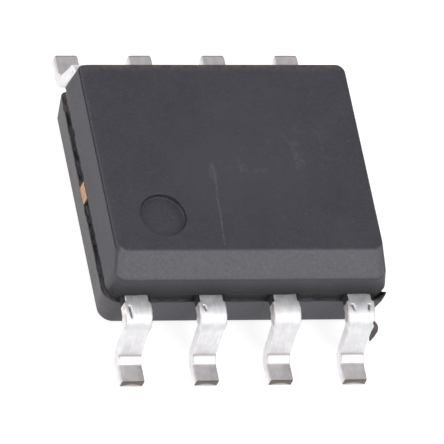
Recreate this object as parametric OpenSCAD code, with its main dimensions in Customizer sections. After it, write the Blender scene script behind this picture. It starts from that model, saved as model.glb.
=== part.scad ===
// Small-outline integrated circuit with eight gull-wing leads in two rows.
// It is built from the inside out: leadframe, chip, bond wires, then the body moulded round them.
// The origin is the centre of the package on the seating plane. X runs along the rows of leads,
// Y runs across them and +Z points away from the board. All lengths are in millimetres.

/* [Moulded body] */
// Length of the body along the rows of leads
body_length = 4.8; // [4.7:0.05:5.1]
// Width of the body across the rows of leads
body_width = 4.0; // [3.8:0.05:4.1]
// Height of the body's top face above the board
seated_height = 1.7; // [1.6:0.05:1.9]
// Gap between the board and the body's underside
standoff = 0.15; // [0.1:0.01:0.25]
// Lean of the moulded end walls, for release from the mould
end_draft_angle = 11; // [5:0.5:15]
// Lean of the moulded walls along the rows of leads
row_draft_angle = 5; // [5:0.5:10]
// Radius of the body's upright corners
corner_radius = 0.26; // [0.2:0.01:0.35]
// How far the front bevel runs back from the wall above leads 1 to 4
bevel_run = 0.4; // [0.25:0.01:0.45]
// How far the front bevel drops below the top face
bevel_drop = 0.28; // [0.2:0.01:0.4]
// Flat broken on the sharp edges of the top and bottom faces
edge_break = 0.03; // [0.01:0.01:0.05]
// Depth of the broken flash band between the two mould halves
flash_recess = 0.05; // [0.02:0.01:0.08]

/* [Marks left by the mould] */
// Diameter of the lead 1 dimple at the top face
dimple_diameter = 0.78; // [0.5:0.02:1]
// Depth of the lead 1 dimple
dimple_depth = 0.09; // [0.05:0.01:0.14]
// Distance from the body's end to the centre of the dimple
dimple_from_end = 0.98; // [0.8:0.02:1.2]
// Distance from the body's front to the centre of the dimple
dimple_from_front = 1.13; // [1.1:0.02:1.4]
// Diameter of the ejector pin mark on the underside
ejector_diameter = 1.0; // [0.6:0.05:1.5]
// Depth of the ejector pin mark
ejector_depth = 0.03; // [0.01:0.01:0.06]

/* [Leads] */
// Spacing of the leads in a row
pitch = 1.27; // [1.22:0.01:1.3]
// Distance across both rows of leads, tip to tip
overall_width = 6.2; // [6.05:0.05:6.6]
// Width of a lead
lead_width = 0.4; // [0.31:0.01:0.51]
// Thickness of the leadframe strip
lead_thickness = 0.2; // [0.17:0.01:0.25]
// Height of the leadframe's underside, where the mould halves part
leadframe_level = 0.85; // [0.8:0.01:0.9]
// Lean of the lead's shank away from upright
shank_angle = 15; // [8:1:20]
// Inside radius of the bend at the shoulder
shoulder_radius = 0.16; // [0.1:0.01:0.2]
// Inside radius of the bend above the foot
foot_radius = 0.12; // [0.08:0.01:0.2]
// Length of the flat foot that is soldered down
foot_length = 0.32; // [0.25:0.01:0.4]
// How far the cut dam bar stands out on each side of a lead
dam_bar_stub = 0.03; // [0.01:0.005:0.05]
// Flat of the shoulder that the cut dam bar covers
dam_bar_flat = 0.08; // [0.04:0.01:0.09]

/* [Leadframe inside the body] */
// Straight neck of a lead just inside the body
neck_length = 0.2; // [0.15:0.01:0.3]
// Width of the bond finger on the two middle leads of a row
middle_finger_width = 0.8; // [0.6:0.02:0.9]
// Width of the bond finger on the two corner leads of a row
corner_finger_width = 0.5; // [0.45:0.01:0.54]
// Gap between a bond finger and the die paddle
finger_gap = 0.25; // [0.2:0.01:0.3]
// Gap between a corner finger and the tie bar
tie_bar_gap = 0.4; // [0.3:0.01:0.6]
// Diameter of the hole that keys a corner finger into the moulding
anchor_diameter = 0.22; // [0.15:0.01:0.28]
// Width of the die paddle across the rows of leads
paddle_width = 2.1; // [1.9:0.05:2.2]
// How far the die paddle sits below the leads
paddle_downset = 0.2; // [0.1:0.01:0.25]
// Width of the tie bars that hold the paddle
tie_bar_width = 0.32; // [0.25:0.01:0.4]
// Length of the sloping step in a tie bar
tie_bar_step = 0.2; // [0.12:0.01:0.3]

/* [Chip and bonding] */
// Length of the silicon die
die_length = 1.6; // [1.4:0.05:1.9]
// Width of the silicon die
die_width = 1.4; // [1.2:0.05:1.7]
// Thickness of the silicon die
die_thickness = 0.28; // [0.2:0.01:0.3]
// Thickness of the adhesive under the die
attach_thickness = 0.025; // [0.015:0.005:0.05]
// Adhesive squeezed out round the die
attach_margin = 0.05; // [0.02:0.01:0.1]
// Distance from the die's edge to the middle of a bond pad
bond_pad_inset = 0.12; // [0.09:0.01:0.2]
// Distance from the package centre line to the two middle bond pads
middle_pad_offset = 0.45; // [0.3:0.02:0.5]
// Distance from the package centre line to the corner bond pads
corner_pad_offset = 0.3; // [0.2:0.02:0.4]
// Diameter of the bond wire
wire_diameter = 0.03; // [0.025:0.005:0.05]
// Diameter of the ball bond on the die
ball_diameter = 0.09; // [0.08:0.005:0.12]
// Height of the ball bond
ball_height = 0.03; // [0.02:0.005:0.05]
// Height of the wire's loop above the die
loop_height = 0.18; // [0.12:0.01:0.25]
// Length of the stitch where the wire is pressed on the finger
stitch_length = 0.08; // [0.06:0.01:0.12]
// Distance from the finger's tip to the start of the stitch
stitch_inset = 0.08; // [0.05:0.01:0.12]

/* [Hidden] */

leads_in_row = 4;
hull_facets = 32;   // sides of the round corners that a hull joins
disc_height = 0.01; // height of the discs that a hull joins
round_facets = 64;  // sides of round holes and marks when drawn as a mesh
bend_steps = 10;    // flats that make up each bend of a lead
dam_bar_steps = 4;  // how many of them the cut dam bar covers at the shoulder
overshoot = 0.05;   // how far a cut reaches past the face that it opens

// Heights of the leadframe and of what sits on it
lead_top = leadframe_level + lead_thickness;
paddle_bottom = leadframe_level - paddle_downset;
paddle_top = paddle_bottom + lead_thickness;
die_bottom = paddle_top + attach_thickness;
die_top = die_bottom + die_thickness;

// Gull-wing side view: u is the distance outwards from the package's centre line, v the height
wall = body_width / 2;
tip = overall_width / 2;
shoulder_outer = shoulder_radius + lead_thickness;
foot_start = tip - foot_length;
bend_turn = 90 - shank_angle;
shank_top_v = lead_top - shoulder_outer * (1 - sin(shank_angle));
shank_foot_v = lead_thickness + foot_radius * (1 - sin(shank_angle));
shank_length = (shank_top_v - shank_foot_v) / cos(shank_angle);
shoulder_end = foot_start - (foot_radius + shoulder_outer) * cos(shank_angle)
    - shank_length * sin(shank_angle);
shoulder_centre = [shoulder_end, leadframe_level - shoulder_radius];
foot_centre = [foot_start, lead_thickness + foot_radius];

// Plan of the leadframe inside the body
corner_lead_x = (leads_in_row - 1) / 2 * pitch;
paddle_length = 2 * (corner_lead_x - corner_finger_width / 2 - finger_gap);
middle_finger_tip = paddle_width / 2 + finger_gap;
corner_finger_tip = tie_bar_width / 2 + tie_bar_gap;
anchor_y = (corner_finger_tip + wall - neck_length) / 2 + anchor_diameter / 2;

// Bond wires
wire_sides = 8;
loop_steps = 9;
stitch_squash = 0.5;  // thickness of the pressed wire as a share of its diameter
stitch_spread = 1.4;  // width of the pressed wire as a share of its diameter

mould_colour = [0.27, 0.27, 0.285];
tin_colour = [0.8, 0.8, 0.81];
copper_colour = [0.72, 0.48, 0.3];
silver_epoxy_colour = [0.62, 0.62, 0.64];
silicon_colour = [0.3, 0.32, 0.38];
gold_colour = [0.85, 0.68, 0.3];

// Leads 1 to 4 stand along the front from left to right, and 5 to 8 along the back from right to left
function in_front(n) = n <= leads_in_row;
function place_in_row(n) = in_front(n) ? n : 2 * leads_in_row + 1 - n;
function lead_x(n) = (place_in_row(n) - (leads_in_row + 1) / 2) * pitch;
function is_corner(n) = abs(lead_x(n)) > pitch;

// Draws a lead's own shapes in the quarter of the package where the lead stands:
// +X there points away from the middle of the row, and +Y outwards
module in_quarter(n) {
    mirror([lead_x(n) < 0 ? 1 : 0, 0, 0])
        mirror([0, in_front(n) ? 1 : 0, 0])
            children();
}

// ---- Leads ----

function arc(centre, radius, from, to, steps) = [
    for (k = [0 : steps])
        let(a = from + (to - from) * k / steps)
        centre + radius * [cos(a), sin(a)]
];
function backwards(points) = [for (i = [len(points) - 1 : -1 : 0]) points[i]];

// Side view of one face of the bent strip, at a depth below the face that looks up
function shoulder_curve(depth, from_u, steps) = concat(
    [[from_u, lead_top - depth]],
    arc(shoulder_centre, shoulder_outer - depth, 90, 90 - bend_turn * steps / bend_steps, steps)
);
function foot_curve(depth) = concat(
    arc(foot_centre, foot_radius + depth, 180 + shank_angle, 270, bend_steps),
    [[tip, lead_thickness - depth]]
);

// Stands a side view (u, v) upright in the plane of a lead and gives it the strip's width
module strip(width, upper, lower) {
    rotate([90, 0, 90])
        translate([0, 0, -width / 2])
            linear_extrude(width)
                polygon(concat(upper, backwards(lower)));
}

// The bent strip from the body's wall to the tip of the foot, with the cut dam bar on its shoulder
module gull_wing() {
    strip(
        lead_width,
        concat(shoulder_curve(0, wall, bend_steps), foot_curve(0)),
        concat(shoulder_curve(lead_thickness, wall, bend_steps), foot_curve(lead_thickness))
    );
    strip(
        lead_width + 2 * dam_bar_stub,
        shoulder_curve(0, shoulder_end - dam_bar_flat, dam_bar_steps),
        shoulder_curve(lead_thickness, shoulder_end - dam_bar_flat, dam_bar_steps)
    );
}

// The part of a lead inside the body, seen from above: a neck, a flare and the finger for the wire
module bond_finger(corner) {
    width = corner ? corner_finger_width : middle_finger_width;
    end = corner ? corner_finger_tip : middle_finger_tip;
    flare = (width - lead_width) / 2;
    neck_end = wall - neck_length;
    difference() {
        translate([0, 0, leadframe_level])
            linear_extrude(lead_thickness)
                polygon([
                    [-lead_width / 2, wall], [-lead_width / 2, neck_end],
                    [-width / 2, neck_end - flare], [-width / 2, end],
                    [width / 2, end], [width / 2, neck_end - flare],
                    [lead_width / 2, neck_end], [lead_width / 2, wall]
                ]);
        if (corner)
            translate([0, anchor_y, leadframe_level - overshoot])
                cylinder(h = lead_thickness + 2 * overshoot, d = anchor_diameter, $fn = round_facets);
    }
}

module lead(n) {
    color(tin_colour)
        in_quarter(n)
            translate([abs(lead_x(n)), 0, 0]) {
                bond_finger(is_corner(n));
                gull_wing();
            }
}

// ---- Die paddle, chip and wires ----

// The paddle and its two tie bars, stepped down from the leads in one strip
module die_paddle() {
    end = body_length / 2;
    flat_end = paddle_length / 2;
    step_end = flat_end + tie_bar_step;
    color(copper_colour) {
        translate([-flat_end, -paddle_width / 2, paddle_bottom])
            cube([2 * flat_end, paddle_width, lead_thickness]);
        for (side = [0, 1])
            mirror([side, 0, 0])
                rotate([90, 0, 0])
                    translate([0, 0, -tie_bar_width / 2])
                        linear_extrude(tie_bar_width)
                            polygon([
                                [flat_end, paddle_bottom], [step_end, leadframe_level],
                                [end, leadframe_level], [end, lead_top],
                                [step_end, lead_top], [flat_end, paddle_top]
                            ]);
    }
}

module die_attach() {
    color(silver_epoxy_colour)
        translate([-die_length / 2 - attach_margin, -die_width / 2 - attach_margin, paddle_top])
            cube([die_length + 2 * attach_margin, die_width + 2 * attach_margin, attach_thickness]);
}

module silicon_die() {
    color(silicon_colour)
        translate([-die_length / 2, -die_width / 2, die_bottom])
            cube([die_length, die_width, die_thickness]);
}

function curve_point(p, t) = pow(1 - t, 3) * p[0] + 3 * t * pow(1 - t, 2) * p[1]
    + 3 * t * t * (1 - t) * p[2] + pow(t, 3) * p[3];
function curve_tilt(p, t) =
    let(d = (1 - t) * (1 - t) * (p[1] - p[0]) + 2 * t * (1 - t) * (p[2] - p[1])
        + t * t * (p[3] - p[2]))
    atan2(d[1], d[0]);

// One ring of a wire: its place along the wire's run, height, tilt, half width and half thickness
function ring_points(ring) = [
    for (k = [0 : wire_sides - 1])
        let(turn = (k + 0.5) * 360 / wire_sides, lift = ring[4] * sin(turn))
        [ring[0] - lift * sin(ring[2]), ring[3] * cos(turn), ring[1] + lift * cos(ring[2])]
];

// Rings from the ball on the die, up and over the loop, down to the stitch pressed on the finger
function wire_rings(run) =
    let(
        r = wire_diameter / 2,
        neck = die_top + ball_height,
        flat_half = stitch_squash * r,
        stitch_v = lead_top + flat_half * cos(180 / wire_sides),
        peak = die_top + loop_height,
        curve = [[0, neck], [0, peak + loop_height / 3], [run * 0.6, peak], [run, stitch_v + r]]
    )
    concat(
        [for (v = [die_top, die_top + ball_height * 0.7]) [0, v, 90, ball_diameter / 2, ball_diameter / 2]],
        [for (k = [0 : loop_steps])
            let(t = k / loop_steps, p = curve_point(curve, t))
            [p[0], p[1], curve_tilt(curve, t), r, r]],
        [for (u = [0.4, 1]) [run + u * stitch_length, stitch_v, 0, stitch_spread * r, flat_half]]
    );

module swept_wire(run) {
    rings = wire_rings(run);
    points = [for (ring = rings) each ring_points(ring)];
    last = len(rings) - 1;
    sides = [
        for (i = [0 : last - 1], k = [0 : wire_sides - 1])
            let(a = i * wire_sides + k, b = i * wire_sides + (k + 1) % wire_sides)
            each [[a, b, b + wire_sides], [a, b + wire_sides, a + wire_sides]]
    ];
    start_cap = [for (k = [1 : wire_sides - 2]) [0, k + 1, k]];
    end_cap = [for (k = [1 : wire_sides - 2]) [for (corner = [0, k, k + 1]) last * wire_sides + corner]];
    polyhedron(points = points, faces = concat(start_cap, sides, end_cap));
}

module bond_wire(n) {
    corner = is_corner(n);
    from = corner
        ? [die_length / 2 - bond_pad_inset, corner_pad_offset]
        : [middle_pad_offset, die_width / 2 - bond_pad_inset];
    to = corner
        ? [corner_lead_x - corner_finger_width / 4, corner_finger_tip + stitch_inset]
        : [pitch / 2, middle_finger_tip + stitch_inset];
    reach = to - from;
    color(gold_colour)
        in_quarter(n)
            translate([from[0], from[1], 0])
                rotate([0, 0, atan2(reach[1], reach[0])])
                    swept_wire(norm(reach));
}

// ---- Moulded body ----

// Stands one copy of the children at each upright corner, given the lengths to their centres
module at_corners(along, front, back) {
    for (x = [-along, along], y = [-front, back])
        translate([x, y, 0]) children();
}

corner_along = body_length / 2 - corner_radius;
corner_across = body_width / 2 - corner_radius;
bevel_level = seated_height - bevel_drop;
upper_height = seated_height - lead_top;
lower_height = leadframe_level - standoff;
bevel_height = bevel_level - lead_top;

// How far the wall along a row leans in at a height above or below its parting edge.
// The radius of the upright corners shrinks by as much.
function row_lean(height) = tan(row_draft_angle) * height;

// How much further the end walls lean in there
function extra_end_lean(height) = tan(end_draft_angle) * height - row_lean(height);

// Disc whose rim is broken by edge_break at its outer face
module rim_disc(radius, outwards) {
    cylinder(
        h = edge_break,
        r1 = outwards > 0 ? radius : radius - edge_break,
        r2 = outwards > 0 ? radius - edge_break : radius,
        $fn = hull_facets
    );
}

module upper_half() {
    hull() {
        translate([0, 0, lead_top])
            at_corners(corner_along, corner_across, corner_across)
                cylinder(h = disc_height, r = corner_radius, $fn = hull_facets);
        translate([0, 0, bevel_level - disc_height])
            at_corners(corner_along - extra_end_lean(bevel_height), corner_across, corner_across)
                cylinder(h = disc_height, r = corner_radius - row_lean(bevel_height), $fn = hull_facets);
        translate([0, 0, seated_height - edge_break])
            at_corners(
                corner_along - extra_end_lean(upper_height),
                corner_across - bevel_run + row_lean(upper_height - bevel_height),
                corner_across
            )
                rim_disc(corner_radius - row_lean(upper_height), 1);
    }
}

module flash_band() {
    hull()
        translate([0, 0, leadframe_level - overshoot])
            at_corners(corner_along, corner_across, corner_across)
                cylinder(
                    h = lead_thickness + 2 * overshoot,
                    r = corner_radius - flash_recess,
                    $fn = hull_facets
                );
}

module lower_half() {
    hull() {
        translate([0, 0, standoff])
            at_corners(corner_along - extra_end_lean(lower_height), corner_across, corner_across)
                rim_disc(corner_radius - row_lean(lower_height), -1);
        translate([0, 0, leadframe_level - disc_height])
            at_corners(corner_along, corner_across, corner_across)
                cylinder(h = disc_height, r = corner_radius, $fn = hull_facets);
    }
}

module moulded_body() {
    color(mould_colour)
        difference() {
            union() {
                lower_half();
                flash_band();
                upper_half();
            }
            translate([
                dimple_from_end - body_length / 2,
                dimple_from_front - body_width / 2,
                seated_height - dimple_depth
            ])
                cylinder(h = dimple_depth + overshoot, d = dimple_diameter, $fn = round_facets);
            translate([0, 0, standoff - overshoot])
                cylinder(h = ejector_depth + overshoot, d = ejector_diameter, $fn = round_facets);
            for (n = [1 : 2 * leads_in_row]) {
                in_quarter(n)
                    translate([abs(lead_x(n)), 0, 0]) bond_finger(is_corner(n));
                bond_wire(n);
            }
            die_paddle();
            die_attach();
            silicon_die();
        }
}

moulded_body();
lead(1);  // lead_1
lead(2);  // lead_2
lead(3);  // lead_3
lead(4);  // lead_4
lead(5);  // lead_5
lead(6);  // lead_6
lead(7);  // lead_7
lead(8);  // lead_8
die_paddle();
die_attach();
silicon_die();
bond_wire(1);  // bond_wire_1
bond_wire(2);  // bond_wire_2
bond_wire(3);  // bond_wire_3
bond_wire(4);  // bond_wire_4
bond_wire(5);  // bond_wire_5
bond_wire(6);  // bond_wire_6
bond_wire(7);  // bond_wire_7
bond_wire(8);  // bond_wire_8
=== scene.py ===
"""Looks of a small-outline integrated circuit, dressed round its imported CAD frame.

Named sizes are in millimetres, as in the part's source, and meshes are written in metres.
X runs along the rows of leads, Y across them with leads 1 to 4 at -Y, and Z away from the board.
"""
import math

import bmesh
import bpy
from mathutils import Matrix, Vector, noise


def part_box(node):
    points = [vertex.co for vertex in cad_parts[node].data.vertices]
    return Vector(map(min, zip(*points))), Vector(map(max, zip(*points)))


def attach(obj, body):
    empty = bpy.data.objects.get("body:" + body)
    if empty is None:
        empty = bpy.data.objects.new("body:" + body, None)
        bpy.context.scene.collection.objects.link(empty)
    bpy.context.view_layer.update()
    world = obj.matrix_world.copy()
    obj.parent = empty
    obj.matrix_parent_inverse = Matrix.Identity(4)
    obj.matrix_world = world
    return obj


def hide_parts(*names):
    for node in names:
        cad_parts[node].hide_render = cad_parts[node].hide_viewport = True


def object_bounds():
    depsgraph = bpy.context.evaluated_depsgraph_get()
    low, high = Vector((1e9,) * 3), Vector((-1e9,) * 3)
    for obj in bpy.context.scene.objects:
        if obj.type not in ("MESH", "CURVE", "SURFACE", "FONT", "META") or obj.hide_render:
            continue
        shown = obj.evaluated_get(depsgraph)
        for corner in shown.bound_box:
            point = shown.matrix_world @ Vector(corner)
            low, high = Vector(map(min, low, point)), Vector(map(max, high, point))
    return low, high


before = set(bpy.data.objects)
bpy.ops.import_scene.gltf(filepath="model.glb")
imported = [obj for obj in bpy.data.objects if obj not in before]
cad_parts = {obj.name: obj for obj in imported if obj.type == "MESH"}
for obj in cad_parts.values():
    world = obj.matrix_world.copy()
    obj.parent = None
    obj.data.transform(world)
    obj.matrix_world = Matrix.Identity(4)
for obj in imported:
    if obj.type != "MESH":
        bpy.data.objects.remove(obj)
cad_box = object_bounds()

MM = 0.001

# ---- Sizes that the frame gives ----

LEAD_NAMES = [f"lead_{n}" for n in range(1, 9)]


def box_mm(node):
    low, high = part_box(node)
    return low / MM, high / MM


BODY_LOW, BODY_HIGH = box_mm("moulded_body")
HALF_LENGTH = BODY_HIGH.x
HALF_WIDTH = BODY_HIGH.y
TOP = BODY_HIGH.z
UNDERSIDE = BODY_LOW.z
LEAD_TOP = box_mm("lead_1")[1].z
LEAD_REACH = -box_mm("lead_1")[0].y

# ---- Sizes repeated from the part's source ----

END_DRAFT = math.tan(math.radians(11))
ROW_DRAFT = math.tan(math.radians(5))
BEVEL_RUN = 0.4
BEVEL_DROP = 0.28
DIMPLE_CENTRE = Vector((0.98 - HALF_LENGTH, 1.13 - HALF_WIDTH))
DIMPLE_RADIUS = 0.39
DIMPLE_DEPTH = 0.09
EJECTOR_RADIUS = 0.5
EJECTOR_DEPTH = 0.03
FLASH_RECESS = 0.05
LEAD_WIDTH = 0.4
LEAD_THICKNESS = 0.2
SHANK_ANGLE = math.radians(15)
SHOULDER_RADIUS = 0.16
FOOT_RADIUS = 0.12
FOOT_LENGTH = 0.32
DAM_BAR_STUB = 0.03
DAM_BAR_FLAT = 0.08
NECK_LENGTH = 0.2

HALF_THICK = LEAD_THICKNESS / 2
PARTING_LOW = LEAD_TOP - LEAD_THICKNESS
BEVEL_LEVEL = TOP - BEVEL_DROP

# ---- Fine shape that only the looks have ----

RIM_ROUND = 0.03        # radius of the body's top and bottom rims
DENT_DEPTH = 0.045      # depth of the punch's slots at the cut dam bars
DENT_START = 2.17       # where they begin, measured out from the middle of the body
DENT_MIDDLE = 0.15      # their middle, measured from the middle of the lead
DENT_HALF_WIDTH = 0.034
# Lengths of the slots on each lead that has them: at its left edge and at its right one.
DENTS = {1: (0.24, 0.0), 2: (0.12, 0.0), 4: (0.13, 0.13), 6: (0.0, 0.15), 7: (0.14, 0.0)}
COINING = 0.9           # how flat the inside of the foot's bend is
# Flake of resin on lead 4. Its start is given across the rows and up.
FLAKE_START = (-2.45, 0.94)
FLAKE_LENGTH = 0.42
FLAKE_WIDTH = 0.16
FLAKE_THICKNESS = 0.035
# Corner radii of the mould halves: right front, right back, left back, left front.
UPPER_CORNERS = (0.25, 0.21, 0.11, 0.24)
LOWER_CORNERS = (0.06, 0.26, 0.10, 0.30)
SMALLEST_CORNER = 0.02
CORNER_FLASH = 0.2      # height of the flash that stands on the lower half's right front corner
ROLL_WIDTH = 0.18       # width and drop of the rounding along the top face's left rim
ROLL_DROP = 0.04
TOP_SHIFT = Vector((-0.045, 0.045, 0))   # how far the top face lies off the middle
BEVEL_ROUND = 0.02      # how far the bevel's lower edge is rounded
LEDGE_ROUND = 0.012     # radius of the mould halves' edges at the parting line
BAND_MARGIN = 0.012     # from the parting edges to the first and last ring of the flash band
LOWER_WALL_TOP = 0.6    # height at which the lower half's plain wall ends
STRIP_ROUND = 0.025     # radius of the leadframe's long edges
STRIP_WAVES = 0.0025    # how far the rolled strip's faces wander from flat
STUB_TEAR = 0.008       # how far the sheared sides of the dam bar's stubs are torn
STUB_EDGE = 0.014       # length over which a stub grows out of the strip
STUB_LEVELS = (0.72, 0.86)               # heights between which a stub fades out on the bend
TIP_ROLL = 0.06         # radius rolled over the lower edge of a sheared tip
FRONT_STEPS = 220
SIDE_STEPS = 180
CORNER_STEPS = 14
RIM_STEPS = 5
BAND_STEPS = 8
BEND_STEPS = 18
TIP_STEPS = 8
ACROSS_STEPS = 24

# Ledge of a mould half at the parting line, from its wall inwards: distance from the edge, inset
# from the full outline (None on the wall), share of the tearing up and down, share in and out.
LEDGE = (
    (0.05, None, 0.0, 0.0),
    (0.03, None, 0.25, 0.1),
    (0.014, None, 0.6, 0.3),
    (0.004, 0.004, 1.0, 0.5),
    (0.0, LEDGE_ROUND, 1.0, 0.6),
    (0.0, 0.035, 1.0, 0.7),
)

# Marks on the top face: the long scratch runs along Y, and each oval has a centre and radii.
SCRATCH_X = -0.404
SCRATCH_SLOPE = 0.058
SCRATCH_WANDER = 0.012
SCRATCH_FRONT = (-1.5, -1.42)            # where it fades in
SCRATCH_BACK = (0.05, 0.15)              # where it fades out
SCRATCH_HEAD = ((-0.43, -0.08), (0.09, 0.22))
NEAR_SMEAR = ((0.1, 0.12), (0.6, 0.35))
FAR_SMEAR = ((1.2, 0.4), (0.8, 0.6))


# ---- Small helpers ----

def noise_at(point, size, seed=0.0):
    """Smooth noise from -1 to 1 that changes over `size` millimetres."""
    shift = Vector((1.7 * seed, 2.9 * seed, 4.3 * seed))
    return noise.noise(Vector(point) / size + shift)


def smooth_min(a, b, width):
    """The smaller of two values, with the change from one to the other rounded."""
    near = max(width - abs(a - b), 0) / width
    return min(a, b) - near * near * width / 4


def ramp(value, start, end):
    """Rises from 0 at start to 1 at end, with soft ends."""
    t = min(max((value - start) / (end - start), 0), 1)
    return t * t * (3 - 2 * t)


def bump_at(value, centre, half_width):
    """1 at the centre, falling softly to 0 at half_width from it."""
    return 1 - ramp(abs(value - centre), 0, half_width)


def link(name, mesh):
    piece = bpy.data.objects.new(name, mesh)
    bpy.context.scene.collection.objects.link(piece)
    return piece


def tube_faces(count, rings, first):
    """Faces of a tube of rings whose points start at index `first`, closed by fans round two hubs."""
    faces = []
    for i in range(rings - 1):
        a = first + i * count
        for k in range(count):
            after = (k + 1) % count
            faces.append((a + k, a + after, a + count + after, a + count + k))
    start_hub = first + rings * count
    last = start_hub - count
    for k in range(count):
        after = (k + 1) % count
        faces.append((first + after, first + k, start_hub))
        faces.append((last + k, last + after, start_hub + 1))
    return faces


def middle(ring):
    return sum((Vector(p) for p in ring), Vector((0, 0, 0))) / len(ring)


def kept_inside(point):
    """The point in metres, moved by a hair where surface noise takes it past the part's box."""
    low, high = cad_box
    return Vector([min(max(c * MM, a), b) for c, a, b in zip(point, low, high)])


def skin(name, *tubes):
    """Closed smooth meshes, each through rings of points in millimetres that have the same count."""
    points = []
    faces = []
    for rings in tubes:
        faces += tube_faces(len(rings[0]), len(rings), len(points))
        points += [point for ring in rings for point in ring]
        points += [middle(rings[0]), middle(rings[-1])]
    mesh = bpy.data.meshes.new(name)
    mesh.from_pydata([kept_inside(p) for p in points], [], faces)
    work = bmesh.new()
    work.from_mesh(mesh)
    bmesh.ops.recalc_face_normals(work, faces=work.faces)
    work.to_mesh(mesh)
    work.free()
    mesh.shade_smooth()
    return link(name, mesh)


def paint(piece, name, value_at):
    """Stores a number at each point of a piece, worked out from the point's place in millimetres."""
    layer = piece.data.attributes.new(name, "FLOAT", "POINT")
    for vertex, entry in zip(piece.data.vertices, layer.data):
        entry.value = value_at(vertex.co / MM)


# ---- Node trees ----

def start_material(name):
    material = bpy.data.materials.new(name)
    material.use_nodes = True
    tree = material.node_tree
    return material, tree, tree.nodes["Principled BSDF"]


def add(tree, kind, inputs=None, **settings):
    """Adds a node. An input is given a socket to link from or a plain value."""
    node = tree.nodes.new(kind)
    for key, value in settings.items():
        setattr(node, key, value)
    for key, value in (inputs or {}).items():
        if isinstance(value, bpy.types.NodeSocket):
            tree.links.new(value, node.inputs[key])
        else:
            node.inputs[key].default_value = value
    return node


def grain(tree, size, stretch=(1, 1, 1), detail=3.0, rough=0.55, offset=0.0):
    """Noise whose spots are `size` millimetres across, times the stretch on each axis."""
    place = add(tree, "ShaderNodeTexCoord").outputs["Object"]
    scale = [1 / (size * MM * s) for s in stretch]
    shift = (offset,) * 3
    mapping = add(tree, "ShaderNodeMapping", {"Vector": place, "Scale": scale, "Location": shift})
    spots = add(
        tree, "ShaderNodeTexNoise",
        {"Vector": mapping.outputs["Vector"], "Scale": 1.0, "Detail": detail, "Roughness": rough},
    )
    return spots.outputs["Fac"]


def remap(tree, value, start, end, low=0.0, high=1.0):
    node = add(
        tree, "ShaderNodeMapRange",
        {"Value": value, "From Min": start, "From Max": end, "To Min": low, "To Max": high},
    )
    return node.outputs["Result"]


def blend_colours(tree, factor, first, second):
    """From the first colour at a factor of 0 to the second at 1."""
    node = add(tree, "ShaderNodeMix", data_type="RGBA")
    for key, value in (("Factor_Float", factor), ("A_Color", first), ("B_Color", second)):
        socket = next(s for s in node.inputs if s.identifier == key)
        if isinstance(value, bpy.types.NodeSocket):
            tree.links.new(value, socket)
        else:
            socket.default_value = value
    return next(s for s in node.outputs if s.identifier == "Result_Color")


def calculate(tree, operation, first, second=0.0):
    """A sum on one or two sockets or plain numbers."""
    node = add(tree, "ShaderNodeMath", operation=operation)
    for socket, value in zip(node.inputs, (first, second)):
        if isinstance(value, bpy.types.NodeSocket):
            tree.links.new(value, socket)
        else:
            socket.default_value = value
    return node.outputs["Value"]


def times(tree, first, second):
    return calculate(tree, "MULTIPLY", first, second)


def plus(tree, first, second):
    return calculate(tree, "ADD", first, second)


def minus(tree, first, second):
    return calculate(tree, "SUBTRACT", first, second)


def painted(tree, name):
    """A number that paint() stored at each point of the piece."""
    return add(tree, "ShaderNodeAttribute", attribute_name=name).outputs["Fac"]


def relief(tree, shader, height, depth, under=None):
    """Bump of `depth` millimetres from a height of 0 to 1."""
    inputs = {"Height": height, "Distance": depth * MM, "Strength": 1.0}
    if under is not None:
        inputs["Normal"] = under
    normal = add(tree, "ShaderNodeBump", inputs).outputs["Normal"]
    tree.links.new(normal, shader.inputs["Normal"])
    return normal


# ---- Materials ----

MOULD_DARK = (0.030, 0.028, 0.039, 1)
MOULD_LIGHT = (0.052, 0.049, 0.062, 1)
# Paler grey painted on the bevel as its sheen.
MOULD_SHEEN = (0.15, 0.147, 0.165, 1)
# Near black, painted as shade in the flash band and at the foot of the front wall.
MOULD_SHADE = (0.014, 0.013, 0.013, 1)
MOULD_BROWN = (0.11, 0.075, 0.06, 1)
SCUFF_GREY = (0.12, 0.123, 0.13, 1)
TIN_LIGHT = (0.88, 0.87, 0.89, 1)
TIN_GREY = (0.76, 0.75, 0.77, 1)
TIN_BROWN = (0.55, 0.51, 0.51, 1)
CUT_BROWN = (0.2, 0.17, 0.155, 1)
# Dark grey painted as shade in the slots beside the cut dam bars.
SLOT_SHADE = (0.16, 0.14, 0.16, 1)
COPPER = (0.68, 0.36, 0.17, 1)
COPPER_DARK = (0.34, 0.18, 0.11, 1)
COPPER_BLOOM = (0.2, 0.11, 0.08, 1)


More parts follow.
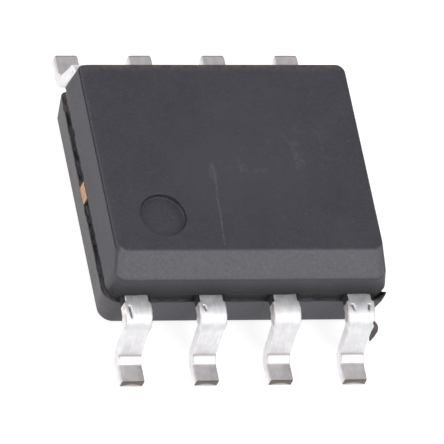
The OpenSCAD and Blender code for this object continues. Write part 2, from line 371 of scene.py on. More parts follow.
def moulding_material():
    """Filled epoxy: near black, matt, finely grained, with scuffs, specks and brown residue."""
    material, tree, shader = start_material("moulding")
    fine = grain(tree, 0.04, detail=4, rough=0.65)
    broad = grain(tree, 0.7, detail=2, offset=5)
    mix = plus(tree, times(tree, fine, 0.7), times(tree, broad, 0.3))
    colour = blend_colours(tree, remap(tree, mix, 0.36, 0.64), MOULD_DARK, MOULD_LIGHT)
    colour = blend_colours(tree, painted(tree, "rubbed"), colour, MOULD_LIGHT)
    pitted = remap(tree, grain(tree, 0.05, detail=4, rough=0.75, offset=17), 0.3, 0.7, 0.35, 0.75)
    # Painted sheen on the bevel, mottled by the pitted grain.
    colour = blend_colours(tree, times(tree, painted(tree, "bevel_sheen"), pitted), colour, MOULD_SHEEN)
    specks = remap(tree, grain(tree, 0.05, detail=1, offset=11), 0.70, 0.76)
    colour = blend_colours(tree, times(tree, specks, 0.4), colour, SCUFF_GREY)
    dust = remap(tree, grain(tree, 0.03, detail=2, offset=23), 0.35, 0.7)
    scuffs = times(tree, top_marks(tree), dust)
    colour = blend_colours(tree, scuffs, colour, SCUFF_GREY)
    # Painted shade: the recessed flash band and the foot of the front wall are darkened.
    colour = blend_colours(tree, painted(tree, "broken"), colour, MOULD_SHADE)
    patches = remap(tree, grain(tree, 0.1, detail=3, offset=31), 0.35, 0.6)
    residue = times(tree, painted(tree, "residue"), patches)
    colour = blend_colours(tree, residue, colour, MOULD_BROWN)
    tree.links.new(colour, shader.inputs["Base Color"])
    rough = remap(tree, fine, 0.3, 0.7, 0.44, 0.62)
    rough = minus(tree, rough, times(tree, painted(tree, "polish"), 0.25))
    rough = plus(tree, rough, times(tree, painted(tree, "broken"), 0.3))
    tree.links.new(rough, shader.inputs["Roughness"])
    shader.inputs["IOR"].default_value = 1.5
    relief(tree, shader, fine, 0.009)
    return material


def top_marks(tree):
    """Faint marks on the top face: a long scratch, the scuffs at its head and smears beside it."""
    place = add(tree, "ShaderNodeTexCoord").outputs["Object"]
    split = add(tree, "ShaderNodeSeparateXYZ", {"Vector": place})
    x, y, z = (times(tree, split.outputs[k], 1 / MM) for k in range(3))
    spots = grain(tree, 0.3, detail=2, offset=41)
    wander = remap(tree, spots, 0.3, 0.7, -SCRATCH_WANDER, SCRATCH_WANDER)
    line_x = plus(tree, times(tree, y, SCRATCH_SLOPE), wander)
    off_line = calculate(tree, "ABSOLUTE", minus(tree, minus(tree, x, line_x), SCRATCH_X))
    line = remap(tree, off_line, 0.008, 0.022, 0.8, 0.0)
    line = times(tree, line, remap(tree, y, *SCRATCH_FRONT))
    line = times(tree, line, remap(tree, y, *SCRATCH_BACK, 1.0, 0.0))
    head = times(tree, oval(tree, x, y, *SCRATCH_HEAD), 0.5)
    blots = remap(tree, grain(tree, 0.16, detail=2, offset=29), 0.52, 0.68)
    smears = times(tree, oval(tree, x, y, *NEAR_SMEAR), 0.6)
    far = times(tree, oval(tree, x, y, *FAR_SMEAR), 0.45)
    smears = times(tree, plus(tree, smears, far), blots)
    marks = plus(tree, calculate(tree, "MAXIMUM", line, head), smears)
    return times(tree, marks, remap(tree, z, TOP - 0.006, TOP - 0.002))


def oval(tree, x, y, centre, radii):
    """1 inside an oval that lies on the part, falling softly to 0 at its edge."""
    across = calculate(tree, "DIVIDE", minus(tree, x, centre[0]), radii[0])
    along = calculate(tree, "DIVIDE", minus(tree, y, centre[1]), radii[1])
    squares = (times(tree, across, across), times(tree, along, along))
    return remap(tree, plus(tree, *squares), 0.1, 1.0, 1.0, 0.0)


def tin_material():
    """Matt tin plate with drawing streaks and mottling, brown where the strip was cut."""
    material, tree, shader = start_material("tin_plate")
    streaks = grain(tree, 0.03, stretch=(1, 10, 10), detail=2)
    mottle = grain(tree, 0.12, detail=3, offset=3)
    crystals = grain(tree, 0.018, detail=2, offset=7)
    shade = plus(tree, times(tree, streaks, 0.4), times(tree, mottle, 0.6))
    colour = blend_colours(tree, remap(tree, shade, 0.40, 0.62), TIN_GREY, TIN_LIGHT)
    colour = blend_colours(tree, painted(tree, "tarnish"), colour, TIN_BROWN)
    colour = blend_colours(tree, painted(tree, "cut"), colour, CUT_BROWN)
    # Painted shade in the slots beside the cut dam bars.
    colour = blend_colours(tree, painted(tree, "slot_shade"), colour, SLOT_SHADE)
    bare = blend_colours(tree, remap(tree, crystals, 0.35, 0.65), COPPER_DARK, COPPER)
    colour = blend_colours(tree, painted(tree, "copper"), colour, bare)
    tree.links.new(colour, shader.inputs["Base Color"])
    shader.inputs["Metallic"].default_value = 1.0
    rough = remap(tree, mottle, 0.3, 0.7, 0.5, 0.6)
    rough = plus(tree, rough, times(tree, painted(tree, "cut"), 0.1))
    tree.links.new(rough, shader.inputs["Roughness"])
    under = relief(tree, shader, crystals, 0.002)
    relief(tree, shader, streaks, 0.0015, under)
    return material


def copper_material():
    """Bare copper alloy strip, rolled, with a darker oxidised bloom."""
    material, tree, shader = start_material("copper_strip")
    rolled = grain(tree, 0.04, stretch=(10, 1, 1), detail=3)
    bloom = grain(tree, 0.15, detail=3, offset=2)
    colour = blend_colours(tree, remap(tree, rolled, 0.35, 0.65), COPPER_DARK, COPPER)
    colour = blend_colours(tree, remap(tree, bloom, 0.5, 0.75, 0, 0.6), colour, COPPER_BLOOM)
    tree.links.new(colour, shader.inputs["Base Color"])
    shader.inputs["Metallic"].default_value = 1.0
    tree.links.new(remap(tree, rolled, 0.3, 0.7, 0.3, 0.5), shader.inputs["Roughness"])
    relief(tree, shader, rolled, 0.003)
    return material


def speckled_material(name, first, second, size, metallic, rough, depth):
    """Plain speckled finish for the parts that the moulding hides."""
    material, tree, shader = start_material(name)
    spots = grain(tree, size, detail=3)
    colour = blend_colours(tree, remap(tree, spots, 0.35, 0.65), first, second)
    tree.links.new(colour, shader.inputs["Base Color"])
    shader.inputs["Metallic"].default_value = metallic
    tree.links.new(remap(tree, spots, 0.3, 0.7, rough[0], rough[1]), shader.inputs["Roughness"])
    relief(tree, shader, spots, depth)
    return material


# ---- Moulded body ----

CORNER_SIGNS = ((1, -1, -90), (1, 1, 0), (-1, 1, 90), (-1, -1, 180))


def rounded_outline(half_length, front, back, radii):
    """Points round a rounded rectangle, anticlockwise from above, starting along the front."""
    arcs = []
    for (side, row, start), radius in zip(CORNER_SIGNS, radii):
        centre = Vector((side * (half_length - radius), back - radius if row > 0 else radius - front))
        angles = [math.radians(start + 90 * k / CORNER_STEPS) for k in range(CORNER_STEPS + 1)]
        arcs.append([centre + radius * Vector((math.cos(a), math.sin(a))) for a in angles])
    points = []
    for i, arc in enumerate(arcs):
        steps = FRONT_STEPS if i % 2 == 0 else SIDE_STEPS
        before = arcs[i - 1][-1]
        points += [before.lerp(arc[0], k / steps) for k in range(steps)]
        points += arc[:-1]
    return points


def at_level(outline, z):
    return [Vector((p.x, p.y, z)) for p in outline]


def drafted_ring(away, inset, radii):
    """Half length, half width and corner radii of a mould half, `away` from its parting edge."""
    row_lean = ROW_DRAFT * away + inset
    half_length = HALF_LENGTH - END_DRAFT * away - inset
    wall = HALF_WIDTH - row_lean
    return half_length, wall, [max(radius - row_lean, SMALLEST_CORNER) for radius in radii]


def upper_ring(z, inset=0.0):
    """Outline of the upper mould half, with the front bevel cut back from it."""
    half_length, wall, radii = drafted_ring(z - LEAD_TOP, inset, UPPER_CORNERS)
    bevel_start = HALF_WIDTH - ROW_DRAFT * (BEVEL_LEVEL - LEAD_TOP)
    bevel = bevel_start - BEVEL_RUN + (TOP - z) * BEVEL_RUN / BEVEL_DROP
    front = smooth_min(wall + inset, bevel, BEVEL_ROUND) - 0.35 * inset
    shift = TOP_SHIFT * (z - LEAD_TOP) / (TOP - LEAD_TOP)
    return [p + shift for p in at_level(rounded_outline(half_length, front, wall, radii), z)]


def lower_ring(z, inset=0.0):
    """Outline of the lower mould half, whose right front corner was left sharper."""
    half_length, wall, radii = drafted_ring(PARTING_LOW - z, inset, LOWER_CORNERS)
    return at_level(rounded_outline(half_length, wall, wall, radii), z)


def band_ring(z, inset):
    """Outline between the mould halves, where only snapped-off flash stands."""
    share = min(max((z - PARTING_LOW) / LEAD_THICKNESS, 0), 1)
    radii = [
        max(low + (high - low) * share - inset, SMALLEST_CORNER)
        for low, high in zip(LOWER_CORNERS, UPPER_CORNERS)
    ]
    wall = HALF_WIDTH - inset
    return at_level(rounded_outline(HALF_LENGTH - inset, wall, wall, radii), z)


def rounded_rim(ring_at, edge, direction):
    """Rings round the quarter circle between a wall and the flat face at height `edge`."""
    rings = []
    for k in range(RIM_STEPS + 1):
        turn = math.radians(90 * k / RIM_STEPS)
        z = edge - direction * RIM_ROUND * (1 - math.sin(turn))
        rings.append(ring_at(z, RIM_ROUND * (1 - math.cos(turn))))
    return rings


def towards_circle(ring, centre, radius, z, share=1.0):
    """Moves a share of the way from a ring to a circle that lies inside it."""
    moved = []
    for point in ring:
        ray = (point.xy - centre).normalized()
        target = centre + ray * radius
        moved.append(Vector((*point.xy.lerp(target, share), z)))
    return moved


def face_with_mark(rim, z, centre, profile):
    """Rings from the rim of a flat face inwards and down a round mark, given as (radius, height)."""
    shares = (0.01, 0.025, 0.05, 0.1, 0.2, 0.35, 0.7, 0.96)
    rings = [towards_circle(rim, centre, profile[0][0], z, share) for share in shares]
    rings += [towards_circle(rim, centre, radius, height) for radius, height in profile]
    return rings


def dimple_profile():
    floor = TOP - DIMPLE_DEPTH
    r = DIMPLE_RADIUS
    return [
        (r + 0.014, TOP), (r + 0.006, TOP - 0.003), (r, TOP - 0.01), (r - 0.004, TOP - 0.03),
        (r - 0.01, floor + 0.02), (r - 0.018, floor + 0.006), (r - 0.034, floor), (r - 0.06, floor),
        (r * 0.5, floor + 0.004), (0.02, floor + 0.005),
    ]


def ejector_profile():
    floor = UNDERSIDE + EJECTOR_DEPTH
    r = EJECTOR_RADIUS
    return [
        (r + 0.012, UNDERSIDE), (r + 0.004, UNDERSIDE + 0.002), (r, UNDERSIDE + 0.008),
        (r - 0.002, floor - 0.008), (r - 0.008, floor - 0.001), (r - 0.02, floor),
        (r * 0.5, floor), (0.02, floor),
    ]


def ragged(point, z_share, in_share):
    """Tears a point of the parting line: up or down, and in or out of the wall."""
    tear = noise_at(point, 0.13, 1) + 0.7 * noise_at(point, 0.045, 2)
    chip = max(noise_at(point, 0.22, 3) - 0.1, 0)
    flash = noise_at(point, 0.1, 4) + 0.6 * noise_at(point, 0.04, 5)
    at_end = ramp(abs(point.x), HALF_LENGTH - 0.3, HALF_LENGTH - 0.1)
    strength = 0.5 + 0.8 * at_end
    moved = Vector(point)
    moved.z += z_share * strength * (0.02 * tear + 0.06 * chip)
    if z_share < 0:
        to_corner = (point.xy - Vector((HALF_LENGTH, -HALF_WIDTH))).length
        moved.z -= z_share * CORNER_FLASH * bump_at(to_corner, 0, 0.22)
    pull = in_share * max(strength * (0.02 * flash + 0.06 * chip), -0.04)
    if at_end > 0.5 and abs(point.y) < HALF_WIDTH - 0.1:
        moved.x -= math.copysign(pull, point.x)
    else:
        moved.y -= math.copysign(pull, point.y)
    moved.x = min(max(moved.x, -HALF_LENGTH), HALF_LENGTH)
    moved.y = min(max(moved.y, -HALF_WIDTH), HALF_WIDTH)
    return moved


def ledge_rings(edge, direction, wall_ring):
    """Rings over the ragged ledge of one mould half, from its wall to the band between the halves."""
    rings = []
    for away, inset, z_share, in_share in LEDGE:
        z = edge + direction * away
        ring = wall_ring(z) if inset is None else band_ring(z, inset)
        rings.append([ragged(p, direction * z_share, in_share) for p in ring])
    return rings


def parting_rings():
    """The two ledges where the mould halves met, and the snapped-off flash band between them."""
    lower_ledge = ledge_rings(PARTING_LOW, -1, lower_ring)
    upper_ledge = ledge_rings(LEAD_TOP, 1, upper_ring)
    band = []
    for k in range(BAND_STEPS + 1):
        z = PARTING_LOW + BAND_MARGIN + (LEAD_THICKNESS - 2 * BAND_MARGIN) * k / BAND_STEPS
        band.append([ragged(p, 0.0, 1.0) for p in band_ring(z, FLASH_RECESS)])
    return lower_ledge + band + upper_ledge[::-1]


def worn(ring):
    """Rolls the top face off towards its left rim, where the mould's edge was polished round."""
    edge = -HALF_LENGTH + END_DRAFT * (TOP - LEAD_TOP) + TOP_SHIFT.x
    rolled = []
    for p in ring:
        near = max(1 - (p.x - edge) / ROLL_WIDTH, 0)
        rolled.append(Vector((p.x, p.y, p.z - ROLL_DROP * min(near, 1) ** 2)))
    return rolled


def moulding_rings():
    """All rings of the moulding, from the ejector mark's middle round to the dimple's."""
    bottom_rim = rounded_rim(lower_ring, UNDERSIDE, -1)
    top_rim = rounded_rim(upper_ring, TOP, 1)
    underside = face_with_mark(bottom_rim[-1], UNDERSIDE, Vector((0, 0)), ejector_profile())
    lower_levels = [UNDERSIDE + RIM_ROUND + (LOWER_WALL_TOP - RIM_ROUND) * k / 5 for k in range(1, 6)]
    lower_wall = [lower_ring(z) for z in lower_levels]
    upper_levels = [LEAD_TOP + 0.08 + 0.06 * k for k in range(5)]
    upper_levels += [BEVEL_LEVEL - 0.03 + 0.01 * k for k in range(8)]
    upper_levels += [BEVEL_LEVEL + 0.06 + 0.04 * k for k in range(5)]
    upper_wall = [upper_ring(z) for z in upper_levels]
    top = [worn(ring) for ring in face_with_mark(top_rim[-1], TOP, DIMPLE_CENTRE, dimple_profile())]
    top_rim = [worn(ring) for ring in top_rim]
    lower = underside[::-1] + bottom_rim[::-1] + lower_wall
    return lower + parting_rings() + upper_wall + top_rim + top


def residue_at(p):
    """Brown residue: far left corner, round the tie bar, back rim and low on the left end."""
    far_corner = ramp(p.y, 1.45, 1.8) * ramp(-p.x, 2.1, 2.35) * bump_at(p.z, 0.98, 0.25)
    back_rim = ramp(p.z, TOP - 0.12, TOP - 0.02) * ramp(p.y, HALF_WIDTH - 0.16, HALF_WIDTH - 0.05)
    on_end = ramp(-p.x, HALF_LENGTH - 0.1, HALF_LENGTH - 0.05)
    tie_bar = bump_at(p.y, 0.05, 0.3) * on_end * bump_at(p.z, 0.95, 0.2)
    low_left = 0.35 * ramp(-p.x, 2.1, 2.25) * (1 - ramp(p.z, 0.7, 0.85))
    return min(far_corner + 0.8 * back_rim + tie_bar + low_left, 1)


def bevel_sheen_at(p):
    """Painted sheen that makes the bevel paler than the moulded faces, mottled coarser by a pitted
    grain.
    """
    if p.y >= -1.4:
        return 0.0
    level = ramp(p.z, BEVEL_LEVEL - 0.005, BEVEL_LEVEL + 0.02)
    level *= 1 - ramp(p.z, TOP - 0.02, TOP - 0.008)
    plane = HALF_WIDTH - BEVEL_RUN + (TOP - p.z) * BEVEL_RUN / BEVEL_DROP
    return level * (1 - ramp(abs(-p.y - plane + 0.06), 0.07, 0.12))


def broken_at(p):
    """Painted shade darkening the rough band of snapped-off flash, and the foot of the front wall above
    it.
    """
    band = ramp(p.z, PARTING_LOW - 0.01, PARTING_LOW + 0.015)
    band *= 1 - ramp(p.z, LEAD_TOP - 0.01, LEAD_TOP + 0.02)
    front_wall = 0.9 * ramp(-p.y, 1.85, 1.9) * bump_at(p.z, LEAD_TOP, 0.45)
    return max(0.95 * band, front_wall if p.z > LEAD_TOP - 0.02 else 0)


def polish_at(p):
    """The glossy wall that the mould's pin left round the dimple."""
    if p.z < TOP - DIMPLE_DEPTH - 0.01:
        return 0.0
    return bump_at((p.xy - DIMPLE_CENTRE).length, DIMPLE_RADIUS, 0.03)


def rubbed_at(p):
    """The middle of the top face, a shade lighter from handling."""
    if p.z < TOP - 0.05:
        return 0.0
    reach = Vector((p.x / 1.9, (p.y - 0.1) / 1.5)).length
    return 0.7 * (1 - ramp(reach, 0.1, 1.0))


def moulded_body(material):
    piece = skin("moulding", moulding_rings())
    finish_moulding(piece, material)
    paint(piece, "rubbed", rubbed_at)
    # The bevel's painted sheen.
    paint(piece, "bevel_sheen", bevel_sheen_at)
    paint(piece, "polish", polish_at)
    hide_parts("moulded_body")


def finish_moulding(piece, material):
    """Marks, material and body that the moulding shares with the resin at the roots."""
    paint(piece, "residue", residue_at)
    # Painted shade of the flash band and the front wall's foot; the same mask also roughens the band.
    paint(piece, "broken", broken_at)
    piece.data.materials.append(material)
    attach(piece, "root")


def resin_bit(number, lead_x, side, front):
    """Resin left between a lead's root and its cut dam bar, on one side of the lead."""
    turn = -1 if front else 1
    length = 0.11 + 0.03 * noise_at((number, side, 0), 0.7, 8)
    rings = []
    for k in range(9):
        out = HALF_WIDTH - FLASH_RECESS - 0.02 + (FLASH_RECESS + 0.02 + length) * k / 8
        thick = 0.034 * math.sqrt(max(1 - (k / 8.3) ** 4, 0))
        ring = []
        for step in range(16):
            a = 2 * math.pi * step / 16
            across = max(min(1.3 * math.cos(a), 1), -1) * thick
            up = max(min(1.3 * math.sin(a), 1), -1) * (LEAD_THICKNESS / 2 - 0.012)
            x = lead_x + side * (LEAD_WIDTH / 2 + across)
            p = Vector((x, turn * out, LEAD_TOP - HALF_THICK + up))
            rough = 0.012 * noise_at(p, 0.05, number)
            ring.append(p + Vector((side * rough, 0, rough)))
        rings.append(ring)
    return rings


def resin_at_roots(material):
    """The bits of resin on both sides of every root, as one piece."""
    tubes = []
    for number, name in enumerate(LEAD_NAMES, 1):
        low, high = box_mm(name)
        for side in (-1, 1):
            tubes.append(resin_bit(number, (low.x + high.x) / 2, side, low.y < -HALF_WIDTH))
    piece = skin("resin_at_roots", *tubes)
    finish_moulding(piece, material)


def flake(material):
    """Thin brown flake of resin that clings to the right flank of lead 4."""
    low, high = box_mm("lead_4")
    flank = (low.x + high.x) / 2 + LEAD_WIDTH / 2
    down = Vector((0, -math.sin(SHANK_ANGLE), -math.cos(SHANK_ANGLE)))
    out = Vector((0, -math.cos(SHANK_ANGLE), math.sin(SHANK_ANGLE)))
    start = Vector((flank, *FLAKE_START))
    rings = []
    for k in range(15):
        t = k / 14
        width = FLAKE_WIDTH * math.sin(math.pi * min(max(t, 0.02), 0.98)) ** 0.6 * (1 - 0.35 * t)
        ring = []
        for step in range(16):
            a = 2 * math.pi * step / 16
            p = start + down * (FLAKE_LENGTH * t)
            p += Vector((0.03 * t + width * (0.3 + 0.5 * math.cos(a)), 0, 0))
            wave = 0.3 * FLAKE_THICKNESS * noise_at(p, 0.08, 9)
            p += out * (wave + FLAKE_THICKNESS / 2 * math.sin(a))
            ring.append(p)
        rings.append(ring)
    piece = skin("resin_flake", rings)
    paint(piece, "residue", lambda p: 0.9)
    piece.data.materials.append(material)
    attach(piece, "root")


# ---- Leads ----

SHOULDER_OUTER = SHOULDER_RADIUS + LEAD_THICKNESS
FOOT_START = LEAD_REACH - FOOT_LENGTH
SHANK_TOP = LEAD_TOP - SHOULDER_OUTER * (1 - math.sin(SHANK_ANGLE))
SHANK_FOOT = LEAD_THICKNESS + FOOT_RADIUS * (1 - math.sin(SHANK_ANGLE))
SHANK_LENGTH = (SHANK_TOP - SHANK_FOOT) / math.cos(SHANK_ANGLE)
SHOULDER_END = (
    FOOT_START
    - (FOOT_RADIUS + SHOULDER_OUTER) * math.cos(SHANK_ANGLE)
    - SHANK_LENGTH * math.sin(SHANK_ANGLE)
)
SHOULDER_CENTRE = Vector((SHOULDER_END, PARTING_LOW - SHOULDER_RADIUS))
FOOT_CENTRE = Vector((FOOT_START, LEAD_THICKNESS + FOOT_RADIUS))
BEND_TURN = math.pi / 2 - SHANK_ANGLE
# Where the foot's bend starts on the inside, as (outwards, up).
CREASE_PLACE = FOOT_CENTRE - FOOT_RADIUS * Vector((math.cos(SHANK_ANGLE), math.sin(SHANK_ANGLE)))


def lead_path(finger_tip):
    """Stations along the middle of the bent strip: place (u, v) and the way its upper face looks."""
    up = Vector((0, 1))
    middle = LEAD_TOP - HALF_THICK
    flat = spaced(finger_tip, HALF_WIDTH, 0.06) + spaced(HALF_WIDTH, SHOULDER_END, 0.0125)[1:]
    path = [(Vector((u, middle)), up) for u in flat]
    for k in range(1, BEND_STEPS + 1):
        a = math.pi / 2 - BEND_TURN * k / BEND_STEPS
        way = Vector((math.cos(a), math.sin(a)))
        path.append((SHOULDER_CENTRE + (SHOULDER_RADIUS + HALF_THICK) * way, way))
    start, way = path[-1]
    down = Vector((way.y, -way.x))
    path += [(start + down * s, way) for s in spaced(0, SHANK_LENGTH, 0.03)[1:-1]]
    for k in range(BEND_STEPS + 1):
        a = math.pi + SHANK_ANGLE + BEND_TURN * k / BEND_STEPS
        way = Vector((math.cos(a), math.sin(a)))
        path.append((FOOT_CENTRE + (FOOT_RADIUS + HALF_THICK) * way, -way))
    path += [(Vector((u, HALF_THICK)), up) for u in spaced(FOOT_START, LEAD_REACH - TIP_ROLL, 0.03)[1:]]
    for k in range(1, TIP_STEPS + 1):
        u = LEAD_REACH - TIP_ROLL + TIP_ROLL * math.sin(math.radians(90 * k / TIP_STEPS))
        path.append((Vector((u, HALF_THICK)), up))
    return path


def spaced(start, end, step):
    count = max(2, math.ceil((end - start) / step))
    return [start + (end - start) * k / count for k in range(count + 1)]


def strip_half_width(u, v, finger_half):
    """Half the strip's width: finger and flare inside the body, then neck, cut dam bar and shank."""
    neck_end = HALF_WIDTH - NECK_LENGTH
    flare = min(max(neck_end - u, 0), finger_half - LEAD_WIDTH / 2)
    inside = LEAD_WIDTH / 2 + flare
    stub_start = SHOULDER_END - DAM_BAR_FLAT
    stub = ramp(u, stub_start, stub_start + STUB_EDGE) * ramp(v, *STUB_LEVELS)
    return inside + DAM_BAR_STUB * stub if u > neck_end else inside


def strip_section(half_width, lift):
    """Outline of the strip as (across, through), clockwise from its upper left edge."""
    r = STRIP_ROUND
    low = -HALF_THICK + lift
    flat = 2 * half_width - 2 * r
    points = [(-half_width + r + flat * k / ACROSS_STEPS, HALF_THICK) for k in range(ACROSS_STEPS + 1)]
    points += quarter(half_width - r, HALF_THICK - r, r, 90)
    points += [(half_width, HALF_THICK - r + (low - HALF_THICK + 2 * r) * k / 5) for k in range(1, 5)]
    points += quarter(half_width - r, low + r, r, 0)
    points += [(half_width - r - flat * k / 10, low) for k in range(1, 10)]
    points += quarter(-half_width + r, low + r, r, -90)
    points += [(-half_width, low + r + (HALF_THICK - low - 2 * r) * k / 5) for k in range(1, 5)]
    points += quarter(-half_width + r, HALF_THICK - r, r, 180)[:-1]
    return points


def quarter(x, y, r, start):
    """Points of a clockwise quarter circle. The one from 90 degrees leaves out its first point."""
    first = 1 if start == 90 else 0
    angles = [math.radians(start - 22.5 * k) for k in range(first, 5)]
    return [(x + r * math.cos(a), y + r * math.sin(a)) for a in angles]


def lead_rings(number, finger_half, finger_tip):
    """Sections along one lead's strip, in the lead's own (across, outwards, up)."""
    seed = 10 + number
    rings = []
    for place, way in lead_path(finger_tip):
        u, v = place
        half_width = strip_half_width(u, v, finger_half)
        past = max(u - (LEAD_REACH - TIP_ROLL), 0) if v < LEAD_THICKNESS else 0
        lift = TIP_ROLL - math.sqrt(max(TIP_ROLL ** 2 - past ** 2, 0))
        stub = max(half_width - LEAD_WIDTH / 2, 0) / DAM_BAR_STUB if u > HALF_WIDTH else 0
        ring = []
        for across, through in strip_section(half_width - 0.3 * lift, lift):
            p = Vector((across, *place)) + Vector((0, *(way * through)))
            sink = STRIP_WAVES * noise_at(p, 0.15, seed)
            if through > HALF_THICK * 0.9:
                sink += dent(number, across, p) - coined(p)
            p -= Vector((0, *(way * sink)))
            if abs(across) > LEAD_WIDTH / 2:
                p.x += math.copysign(STUB_TEAR * noise_at(p, 0.04, seed) * stub, across)
            ring.append(p)
        rings.append(ring)
    return rings


def dent(number, across, p):
    """Depth of the narrow slot that the dam bar's punch left beside an edge of some leads."""
    left, right = DENTS.get(number, (0.0, 0.0))
    reach = left if across < 0 else right
    if reach == 0:
        return 0.0
    along = (p.y - DENT_START) / reach
    if not 0 < along < 1:
        return 0.0
    half_width = DENT_HALF_WIDTH * (1 - 0.6 * along)
    place = 1 - ramp(abs(abs(across) - DENT_MIDDLE + 0.03 * along), 0.2 * half_width, half_width)
    return DENT_DEPTH * place * ramp(along, 0, 0.12) * (1 - ramp(along, 0.7, 1))


def coined(p):
    """How far the inside of the foot's bend stands proud of a true arc, coined nearly flat."""
    way = p.yz - FOOT_CENTRE
    if way.y > 0 or way.x > 0:
        return 0.0
    turn = math.atan2(-way.x, -way.y)
    if turn > BEND_TURN:
        return 0.0
    return COINING * FOOT_RADIUS * (1 - math.cos(BEND_TURN / 2) / math.cos(turn - BEND_TURN / 2))


def to_package(points, lead_x, front):
    """Turns a lead's own (across, outwards, up) into the package's frame."""
    turn = -1 if front else 1
    return [Vector((lead_x - turn * p.x, turn * p.y, p.z)) for p in points]


def lead(name, number, material):
    """One bent strip with its marks, in place of the solid of the same name."""
    low, high = box_mm(name)
    front = low.y < -HALF_WIDTH
    lead_x = (low.x + high.x) / 2
    finger_half = (high.x - low.x) / 2
    finger_tip = -high.y if front else low.y
    rings = [to_package(ring, lead_x, front) for ring in lead_rings(number, finger_half, finger_tip)]
    piece = skin(f"{name}_strip", rings)
    turn = -1 if front else 1
    # Painted shade in the slots beside the cut dam bars.
    paint(piece, "slot_shade", lambda p: slot_shade_at(number, turn, lead_x, p))
    paint(piece, "cut", cut_at)
    paint(piece, "tarnish", tarnish_at)
    paint(piece, "copper", lambda p: 0.5 * copper_at(p) + 0.4 * stub_at(lead_x, p))
    piece.data.materials.append(material)
    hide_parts(name)
    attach(piece, "root")


def cut_at(p):
    """The sheared end of the foot, above the burnished roll of its lower edge."""
    return ramp(abs(p.y), LEAD_REACH - 0.02, LEAD_REACH - 0.006) * ramp(p.z, 0.05, 0.08)


def tarnish_at(p):
    """Brownish tarnish on the flat foot, and a dark line painted where the foot's bend starts."""
    foot = ramp(abs(p.y), FOOT_START - 0.02, FOOT_START + 0.03) * ramp(p.z, 0.1, 0.18)
    crease = bump_at(abs(p.y), CREASE_PLACE.x, 0.03) * bump_at(p.z, CREASE_PLACE.y, 0.05)
    return min(0.8 * foot * (0.8 + 0.4 * noise_at(p, 0.1, 6)) + crease, 1)


def copper_at(p):
    """Copper that shows through at a few corners of the cut ends."""
    tip = ramp(abs(p.y), LEAD_REACH - 0.04, LEAD_REACH - 0.01) * ramp(noise_at(p, 0.16, 7), 0.3, 0.55)
    return 0.5 * tip


def slot_shade_at(number, turn, lead_x, p):
    """Painted shade in the slots beside the cut dam bars."""
    if p.z < 0.7 or abs(p.y) < 2.1:
        return 0.0
    own = Vector((-turn * (p.x - lead_x), turn * p.y, p.z))
    return dent(number, own.x, own) / DENT_DEPTH


def stub_at(lead_x, p):
    """The sheared side faces of a dam bar's stubs, where the copper is bare."""
    side = ramp(abs(p.x - lead_x), LEAD_WIDTH / 2 + 0.005, LEAD_WIDTH / 2 + 0.02)
    return side * ramp(p.z, 0.75, 0.85) * ramp(noise_at(p, 0.1, 14), 0.0, 0.4)


# ---- Carried-over parts inside the moulding ----

def dress_inner_parts():
    adhesive = speckled_material(
        "silver_adhesive", (0.4, 0.4, 0.42, 1), (0.62, 0.62, 0.64, 1), 0.03, 0.4, (0.45, 0.65), 0.004)
    silicon = speckled_material(
        "silicon", (0.1, 0.11, 0.15, 1), (0.16, 0.18, 0.24, 1), 0.05, 0.3, (0.12, 0.25), 0.0005)
    gold = speckled_material(
        "gold_wire", (0.75, 0.52, 0.16, 1), (0.9, 0.68, 0.28, 1), 0.02, 1.0, (0.18, 0.3), 0.0005)
    dress("die_paddle", copper_material())
    dress("die_attach", adhesive)
    dress("silicon_die", silicon)
    for n in range(1, 9):
        dress(f"bond_wire_{n}", gold)


def dress(node, material):
    """Gives a solid that the scene keeps its material."""
    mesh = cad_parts[node].data
    mesh.materials.clear()
    mesh.materials.append(material)


# ---- Studio ----

CAMERA_TURN = math.radians(-34.57)
CAMERA_HEIGHT = math.radians(53.26)
CAMERA_ROLL = math.radians(28.66)
CAMERA_DISTANCE = 200
CAMERA_LENS = 1002
CAMERA_CLIP = (0.001, 10)                # metres
AIM_HEIGHT = 0.8                         # of the point on the part's axis that the aim is given from
AIM_FROM_CENTRE = Vector((0.016, -0.395))   # across and up in the picture, from that point

SKY_STRENGTH = 0.4
FLOOR_GLOW = 0.78
FLOOR_HALF_SIZE = 1.5                    # metres
FLOOR_DARK = (0.48, 0.48, 0.48, 1)
FLOOR_LIGHT = (0.52, 0.52, 0.52, 1)
# Soft lights: name, turn and height in degrees, distance and size in metres, radiance.
SOFTBOXES = (
    ("key_light", 30, 48, 0.6, 0.4, 3.2),
    ("left_light", -95, 35, 0.6, 0.5, 2.3),
    ("back_light", 145, 50, 0.6, 0.5, 0.4),
)


def direction(turn, height):
    """The way from the part to a point seen at a turn from the front and a height above level."""
    return Vector((
        math.sin(turn) * math.cos(height),
        -math.cos(turn) * math.cos(height),
        math.sin(height),
    ))


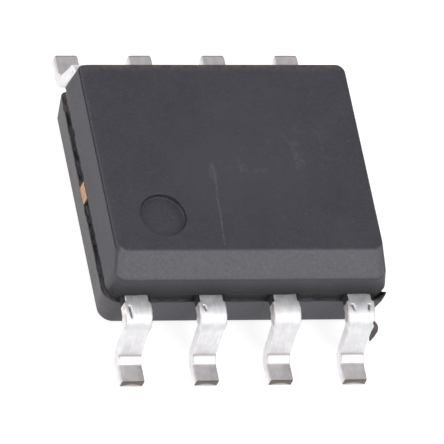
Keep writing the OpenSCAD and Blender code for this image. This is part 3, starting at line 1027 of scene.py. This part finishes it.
def add_camera():
    back = direction(CAMERA_TURN, CAMERA_HEIGHT)
    level = Vector((math.cos(CAMERA_TURN), math.sin(CAMERA_TURN), 0))
    rise = back.cross(level)
    across = math.cos(CAMERA_ROLL) * level + math.sin(CAMERA_ROLL) * rise
    up = back.cross(across)
    aim = Vector((0, 0, AIM_HEIGHT)) + AIM_FROM_CENTRE.x * across + AIM_FROM_CENTRE.y * up
    camera = bpy.data.objects.new("camera", bpy.data.cameras.new("camera"))
    camera.data.lens = CAMERA_LENS
    camera.data.clip_start, camera.data.clip_end = CAMERA_CLIP
    place = Matrix((across, up, back)).transposed().to_4x4()
    place.translation = (aim + back * CAMERA_DISTANCE) * MM
    camera.matrix_world = place
    bpy.context.scene.collection.objects.link(camera)
    bpy.context.scene.camera = camera


def add_softbox(name, turn, height, distance, size, radiance):
    """A square soft light that faces the part. Its power is set from the radiance it shows."""
    light = bpy.data.lights.new(name, "AREA")
    light.shape = "SQUARE"
    light.size = size
    light.energy = radiance * math.pi * size * size
    lamp = bpy.data.objects.new(name, light)
    way = direction(math.radians(turn), math.radians(height))
    lamp.location = way * distance
    lamp.rotation_euler = way.to_track_quat("Z", "Y").to_euler()
    bpy.context.scene.collection.objects.link(lamp)


def add_sky(strength):
    world = bpy.data.worlds.new("studio")
    world.use_nodes = True
    world.node_tree.nodes["Background"].inputs["Color"].default_value = (1, 1, 1, 1)
    world.node_tree.nodes["Background"].inputs["Strength"].default_value = strength
    bpy.context.scene.world = world


def add_floor():
    """Pale studio floor on the seating plane, which glows a little like a light table."""
    mesh = bpy.data.meshes.new("floor")
    work = bmesh.new()
    bmesh.ops.create_grid(work, x_segments=8, y_segments=8, size=FLOOR_HALF_SIZE)
    work.to_mesh(mesh)
    work.free()
    floor = link("floor", mesh)
    material, tree, shader = start_material("floor")
    paper = grain(tree, 40.0, detail=2)
    colour = blend_colours(tree, paper, FLOOR_DARK, FLOOR_LIGHT)
    tree.links.new(colour, shader.inputs["Base Color"])
    shader.inputs["Roughness"].default_value = 0.9
    shader.inputs["Specular IOR Level"].default_value = 0.1
    shader.inputs["Emission Color"].default_value = (1, 1, 1, 1)
    shader.inputs["Emission Strength"].default_value = FLOOR_GLOW
    mesh.materials.append(material)


def build_studio():
    bpy.context.scene.view_settings.view_transform = "Standard"
    add_floor()
    add_sky(SKY_STRENGTH)
    for softbox in SOFTBOXES:
        add_softbox(*softbox)
    add_camera()


# ---- The scene ----

build_studio()
epoxy = moulding_material()
moulded_body(epoxy)
resin_at_roots(epoxy)
flake(epoxy)
tin = tin_material()
for count, lead_name in enumerate(LEAD_NAMES, 1):
    lead(lead_name, count, tin)
dress_inner_parts()
